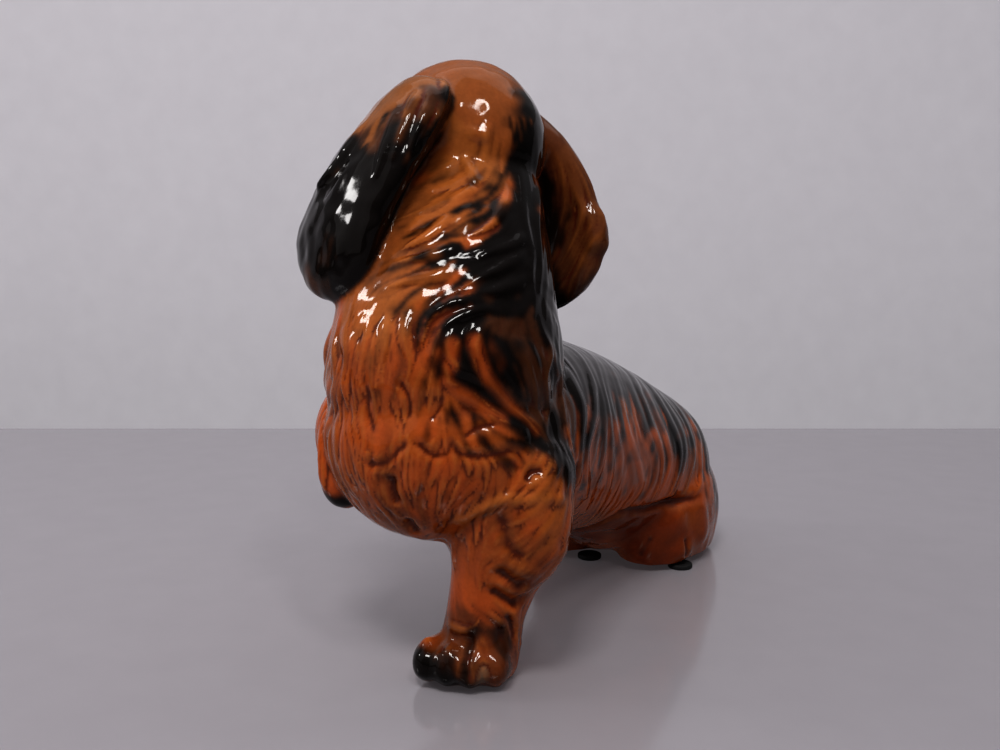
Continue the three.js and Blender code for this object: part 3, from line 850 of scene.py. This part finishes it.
def paint(skin, coat, label):
    """The glaze's colour at each point: airbrushed strokes and some painted shade, darker where it pools,
    paler where thin.
    """
    p = skin.p
    level = coat.height + coat.extra
    hollow = skin.relax(level, 10) - level
    valley = skin.relax(level, 60) - level
    pooled = 0.8 * smooth(hollow, 0.015, 0.30) + 0.2 * smooth(valley, 0.05, 0.7)
    thin = smooth(-hollow, 0.04, 0.3)
    blotch = value_noise(p / 13, 0) * 0.6 + value_noise(p / 4, 2) * 0.4
    warm = smooth(blotch + (coat.tone - 0.5) * 0.35, 0.2, 0.8)[:, None]
    cloud = value_noise(p / 6, 1) * 0.5 + value_noise(p / 2.5, 0) * 0.3 + coat.tone * 0.2
    dusk = smooth(cloud, 0.45, 0.75)[:, None]
    colour = ORANGE * (1.2 - 0.3 * warm) + (CARAMEL - ORANGE) * (0.35 * warm)
    colour = colour + (RUSSET - colour) * 0.45 * dusk
    streak = (coat.tone - 0.5) * 1.1 + (value_noise(p / 4, 1) - 0.5) * 0.9
    for tint, points, reach, strength, broken, *masked in STROKES:
        within = reach - path_distance(p, points) + streak * broken
        soft = 0.8 + 0.2 * reach
        share = strength * smooth(within, -soft, soft)
        for casting in masked:
            share = share * (label == CERAMIC.index(casting))
        colour = colour * (1 - share[:, None]) + tint * share[:, None]
    colour = skin.relax(colour, round(SPRAY_EDGE / VOXEL))
    colour = colour + (CARAMEL * 1.2 - colour) * (0.4 * thin * smooth(colour[:, 0], 0.02, 0.2))[:, None]
    deep = (pooled * 0.92)[:, None]
    pool = np.minimum(colour, RUSSET * 0.6 + BLACK)
    return np.clip(colour * (1 - deep) + pool * deep, 0, 1)


# ---- Materials ----

def shader(name):
    """A new material, its nodes and its surface shader."""
    material = bpy.data.materials.new(name)
    material.use_nodes = True
    tree = material.node_tree
    return material, tree, tree.nodes["Principled BSDF"]


def noise(tree, scale, detail):
    """Noise from 0 to 1 in the object's own coordinates."""
    coordinates = tree.nodes.new("ShaderNodeTexCoord")
    texture = tree.nodes.new("ShaderNodeTexNoise")
    texture.inputs["Scale"].default_value = scale
    texture.inputs["Detail"].default_value = detail
    tree.links.new(coordinates.outputs["Object"], texture.inputs["Vector"])
    return texture.outputs["Fac"]


def spread(tree, value, low, high):
    """A value from 0 to 1, spread from low to high."""
    span = tree.nodes.new("ShaderNodeMapRange")
    span.inputs["To Min"].default_value = low
    span.inputs["To Max"].default_value = high
    tree.links.new(value, span.inputs["Value"])
    return span.outputs["Result"]


def blend(tree, value, low, high):
    """A colour between two, by a value from 0 to 1."""
    ramp = tree.nodes.new("ShaderNodeValToRGB")
    ramp.color_ramp.elements[0].color = (*low, 1)
    ramp.color_ramp.elements[1].color = (*high, 1)
    tree.links.new(value, ramp.inputs["Fac"])
    return ramp.outputs["Color"]


def add_bump(tree, surface, height, strength, distance):
    """Fine relief in the shading, its distance in metres."""
    bump = tree.nodes.new("ShaderNodeBump")
    bump.inputs["Strength"].default_value = strength
    bump.inputs["Distance"].default_value = distance
    tree.links.new(height, bump.inputs["Height"])
    tree.links.new(bump.outputs["Normal"], surface.inputs["Normal"])


def glaze_material():
    """The painted colours, faintly speckled, under a glossy and slightly rippled glaze."""
    material, tree, surface = shader("glazed_ceramic")
    painted = tree.nodes.new("ShaderNodeAttribute")
    painted.attribute_name = "Glaze"
    speck = noise(tree, 900, 3)
    tint = tree.nodes.new("ShaderNodeVectorMath")
    tint.operation = "SCALE"
    tree.links.new(painted.outputs["Color"], tint.inputs[0])
    tree.links.new(spread(tree, speck, 0.82, 1.18), tint.inputs["Scale"])
    tree.links.new(tint.outputs["Vector"], surface.inputs["Base Color"])
    tree.links.new(spread(tree, speck, 0.05, 0.12), surface.inputs["Roughness"])
    add_bump(tree, surface, noise(tree, 260, 2), 0.08, 0.0004)
    surface.inputs["IOR"].default_value = 1.34
    return material


def rubber_material():
    """Matt black rubber with a fine grain."""
    material, tree, surface = shader("pad_rubber")
    grain = noise(tree, 2200, 4)
    shade = blend(tree, grain, (0.006, 0.006, 0.006), (0.022, 0.022, 0.023))
    tree.links.new(shade, surface.inputs["Base Color"])
    add_bump(tree, surface, grain, 0.3, 0.0002)
    surface.inputs["Roughness"].default_value = 0.8
    return material


# ---- Pieces ----

def split_pieces(skin, label, colour, material):
    """One closed mesh for each casting: its share of the skin, with the joint closed inside."""
    normal = skin.normals()
    face_label = label[skin.quads]
    votes = np.stack([(face_label == i).sum(1) for i in range(len(CERAMIC))], 1)
    owner = votes.argmax(1)
    for i, name in enumerate(CERAMIC):
        quads = skin.quads[owner == i]
        used, local = np.unique(quads, return_inverse=True)
        local = local.reshape(-1, 4)
        points = list(skin.p[used])
        normals = list(normal[used])
        colours = list(colour[used])
        faces = [list(q) for q in local]
        for loop in boundary_loops(local):
            ring = np.array([points[k] for k in loop])
            inward = -unit(np.mean([normals[k] for k in loop], axis=0))
            centre = len(points)
            points.append(ring.mean(0) + inward * CAP_DEPTH)
            normals.append(-inward)
            colours.append(np.mean([colours[k] for k in loop], axis=0))
            faces += [[loop[(k + 1) % len(loop)], loop[k], centre] for k in range(len(loop))]
        mesh = bpy.data.meshes.new(name + "_glazed")
        mesh.from_pydata([tuple((p + SHIFT) * MM) for p in points], [], faces)
        mesh.polygons.foreach_set("use_smooth", [True] * len(mesh.polygons))
        mesh.update()
        mesh.normals_split_custom_set_from_vertices([tuple(n) for n in normals])
        paint_layer = mesh.color_attributes.new("Glaze", "FLOAT_COLOR", "POINT")
        rgba = np.ones((len(points), 4), np.float32)
        rgba[:, :3] = np.array(colours)
        paint_layer.data.foreach_set("color", rgba.ravel())
        mesh.materials.append(material)
        piece = add_object(name + "_glazed", mesh)
        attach(piece, "root")
        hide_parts(name)


def boundary_loops(quads):
    """Closed rings of edges that only one face uses, each in that face's direction."""
    edges = {}
    for k in range(4):
        edges.update(dict.fromkeys(zip(quads[:, k], quads[:, (k + 1) % 4])))
    follow = {}
    for a, b in edges:
        if (b, a) not in edges:
            follow.setdefault(a, []).append(b)
    loops = []
    while follow:
        start = next(iter(follow))
        loop = [start]
        while True:
            here = loop[-1]
            ahead = follow[here].pop()
            if not follow[here]:
                del follow[here]
            if ahead == start:
                break
            loop.append(ahead)
        loops.append(loop)
    return loops


PAD_RIM = 0.5
PAD_SIDES = 56


def make_pad(node, material):
    """A round pad with softened rims, turned from its profile."""
    low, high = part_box(node)
    centre = (low + high) / 2
    radius = (high.x - low.x) / 2
    height = high.z - low.z
    rim = PAD_RIM * MM
    profile = [(0, 0), (radius - rim, 0)]
    turns = np.linspace(0.3, math.pi / 2, 4)
    profile += [(radius - rim * (1 - math.sin(a)), rim * (1 - math.cos(a))) for a in turns]
    profile += [(r, height - z) for r, z in reversed(profile[1:])]
    profile.append((0, height))
    turned = bmesh.new()
    verts = [turned.verts.new((centre.x + r, centre.y, low.z + z)) for r, z in profile]
    edges = [turned.edges.new(pair) for pair in zip(verts[:-1], verts[1:])]
    bmesh.ops.spin(turned, geom=verts + edges, cent=(centre.x, centre.y, 0), axis=(0, 0, 1),
                   angle=2 * math.pi, steps=PAD_SIDES, use_merge=True)
    bmesh.ops.remove_doubles(turned, verts=turned.verts, dist=1e-6)
    bmesh.ops.recalc_face_normals(turned, faces=turned.faces)
    mesh = bpy.data.meshes.new(node + "_rubber")
    turned.to_mesh(mesh)
    turned.free()
    mesh.polygons.foreach_set("use_smooth", [True] * len(mesh.polygons))
    mesh.materials.append(material)
    pad = add_object(node + "_rubber", mesh)
    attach(pad, "root")
    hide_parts(node)


# ---- Studio ----

CAMERA_AT = (141.8, -220.7, 110.0)
CAMERA_TURN = math.radians(30)
CAMERA_DOWN = math.radians(7.125)


def row(x, y, z):
    """A point in the dog's millimetres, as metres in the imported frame."""
    return tuple((np.array([x, y, z]) + SHIFT) * MM)


def add_camera():
    """The photograph's viewpoint."""
    data = bpy.data.cameras.new("camera")
    data.lens = 36
    data.sensor_width = 36
    camera = add_object("camera", data)
    camera.location = row(*CAMERA_AT)
    camera.rotation_euler = (math.pi / 2 - CAMERA_DOWN, 0, CAMERA_TURN)
    bpy.context.scene.camera = camera


def add_light(name, at, towards, size, power, colour):
    """A rectangular light (metres, watts) at one place, aimed at another."""
    data = bpy.data.lights.new(name, "AREA")
    data.shape = "RECTANGLE"
    data.size, data.size_y = size
    data.energy = power
    data.color = colour
    light = add_object(name, data)
    light.location = row(*at)
    aim = Vector(row(*towards)) - light.location
    light.rotation_euler = aim.to_track_quat("-Z", "Y").to_euler()


def studio_material(name, low, high, roughness, glow):
    """A plain, faintly mottled surface; glow stands for the room's light that the lamps leave out."""
    material, tree, surface = shader(name)
    shade = blend(tree, noise(tree, 60, 5), low, high)
    tree.links.new(shade, surface.inputs["Base Color"])
    tree.links.new(shade, surface.inputs["Emission Color"])
    surface.inputs["Roughness"].default_value = roughness
    surface.inputs["Emission Strength"].default_value = glow
    return material


def add_sheet(name, corners, material):
    """A flat four-cornered sheet of the studio."""
    mesh = bpy.data.meshes.new(name)
    mesh.from_pydata([row(*c) for c in corners], [], [(0, 1, 2, 3)])
    mesh.materials.append(material)
    sheet = add_object(name, mesh)


# Millimetres from the camera: the table's near and far edges and the wall. Then half the width of
# both, the wall's height, and how far below the table it starts.
TABLE_NEAR = -900
TABLE_FAR = 612
WALL_DEPTH = 770
HALF_WIDTH = 1500
WALL_HEIGHT = 480
WALL_DROP = 120


def add_studio():
    """A glossy pale table that ends before a pale wall, a window above the camera and soft room light."""
    away = np.array([-math.sin(CAMERA_TURN), math.cos(CAMERA_TURN), 0])
    across = np.array([math.cos(CAMERA_TURN), math.sin(CAMERA_TURN), 0])
    under = np.array([CAMERA_AT[0], CAMERA_AT[1], 0])
    edge = under + away * TABLE_FAR
    front = under + away * TABLE_NEAR
    wide = across * HALF_WIDTH
    table = studio_material("pale_table", (0.265, 0.251, 0.27), (0.285, 0.271, 0.29), 0.13, 0.12)
    wall = studio_material("pale_wall", (0.35, 0.338, 0.358), (0.38, 0.368, 0.388), 0.9, 0.54)
    add_sheet("table", [front - wide, front + wide, edge + wide, edge - wide], table)
    foot = under + away * WALL_DEPTH - np.array([0, 0, WALL_DROP])
    rise = np.array([0, 0, WALL_HEIGHT])
    add_sheet("wall", [foot - wide, foot + wide, foot + wide + rise, foot - wide + rise], wall)
    world = bpy.data.worlds.new("studio")
    world.use_nodes = True
    tree = world.node_tree
    direction = tree.nodes.new("ShaderNodeTexCoord")
    split = tree.nodes.new("ShaderNodeSeparateXYZ")
    tree.links.new(direction.outputs["Generated"], split.inputs["Vector"])
    overhead = spread(tree, split.outputs["Z"], 0.03, 0.40)
    overhead.node.inputs["From Min"].default_value = -0.1
    sky = tree.nodes["Background"]
    sky.inputs["Color"].default_value = (0.97, 0.96, 1.0, 1)
    tree.links.new(overhead, sky.inputs["Strength"])
    bpy.context.scene.world = world
    add_light("window_pane_a", (150, -430, 720), (0, 10, 100), (0.20, 0.16), 2.6, (1, 0.98, 0.96))
    add_light("window_pane_b", (390, -330, 720), (0, 10, 100), (0.08, 0.16), 1.0, (1, 0.98, 0.96))
    add_light("side_window", (-620, -260, 420), (0, 20, 90), (0.16, 0.08), 0.55, (1, 0.98, 0.97))
    add_light("left_fill", (-450, -500, 450), (0, 0, 40), (0.9, 0.9), 0.7, (1, 0.98, 0.98))
    add_light("back_window", (-60, 260, 800), (-120, 330, 0), (1.0, 0.5), 0.8, (1, 0.97, 1))


# ---- Build ----

THROAT = [(12, -6, 126), (8, -18, 108), (0, -26, 96)]


def sculpt():
    """The smoothed castings with the whole coat raised on them, still as one skin."""
    skin = Skin(merged_castings())
    skin.p = skin.relax(skin.p, FORM_ROUNDS)
    label = label_points(skin)
    normal = skin.relax(skin.normals(), NORMAL_ROUNDS)
    region = find_regions(skin, label)
    waviness = skin.relax(np.array([r[4] for r in REGIONS.values()])[region], 10)
    coat = Coat(skin, normal, flow_field(skin, label, normal, waviness))
    comb_coat(coat, region, calm(skin.p))
    model_by_hand(coat)
    coat.height *= 1 - 0.85 * below_belly(skin.p)
    lumps = (value_noise(skin.p / 3.4, 1) - 0.5) * 0.5 + (value_noise(skin.p / 9, 0) - 0.5) * 0.6
    throat = smooth(-path_distance(skin.p, THROAT), -16, -8)
    smooth_places = np.maximum(calm(skin.p), label == CERAMIC.index("left_ear"))
    coat.extra += lumps * np.maximum(smooth_places, throat)
    raised = skin.relax(coat.height + coat.extra, 4, 0.5)
    return skin, coat, label, raised, normal


skin, coat, label, raised, normal = sculpt()
colour = paint(skin, coat, label)
skin.p = skin.relax(skin.p + unit(normal) * (raised - SET_BACK)[:, None], 1, 0.35)
split_pieces(skin, label, colour, glaze_material())
rubber = rubber_material()
for node in PADS:
    make_pad(node, rubber)
add_camera()
add_studio()
bpy.context.scene.view_settings.view_transform = "Standard"
bpy.context.scene.view_settings.look = "High Contrast"
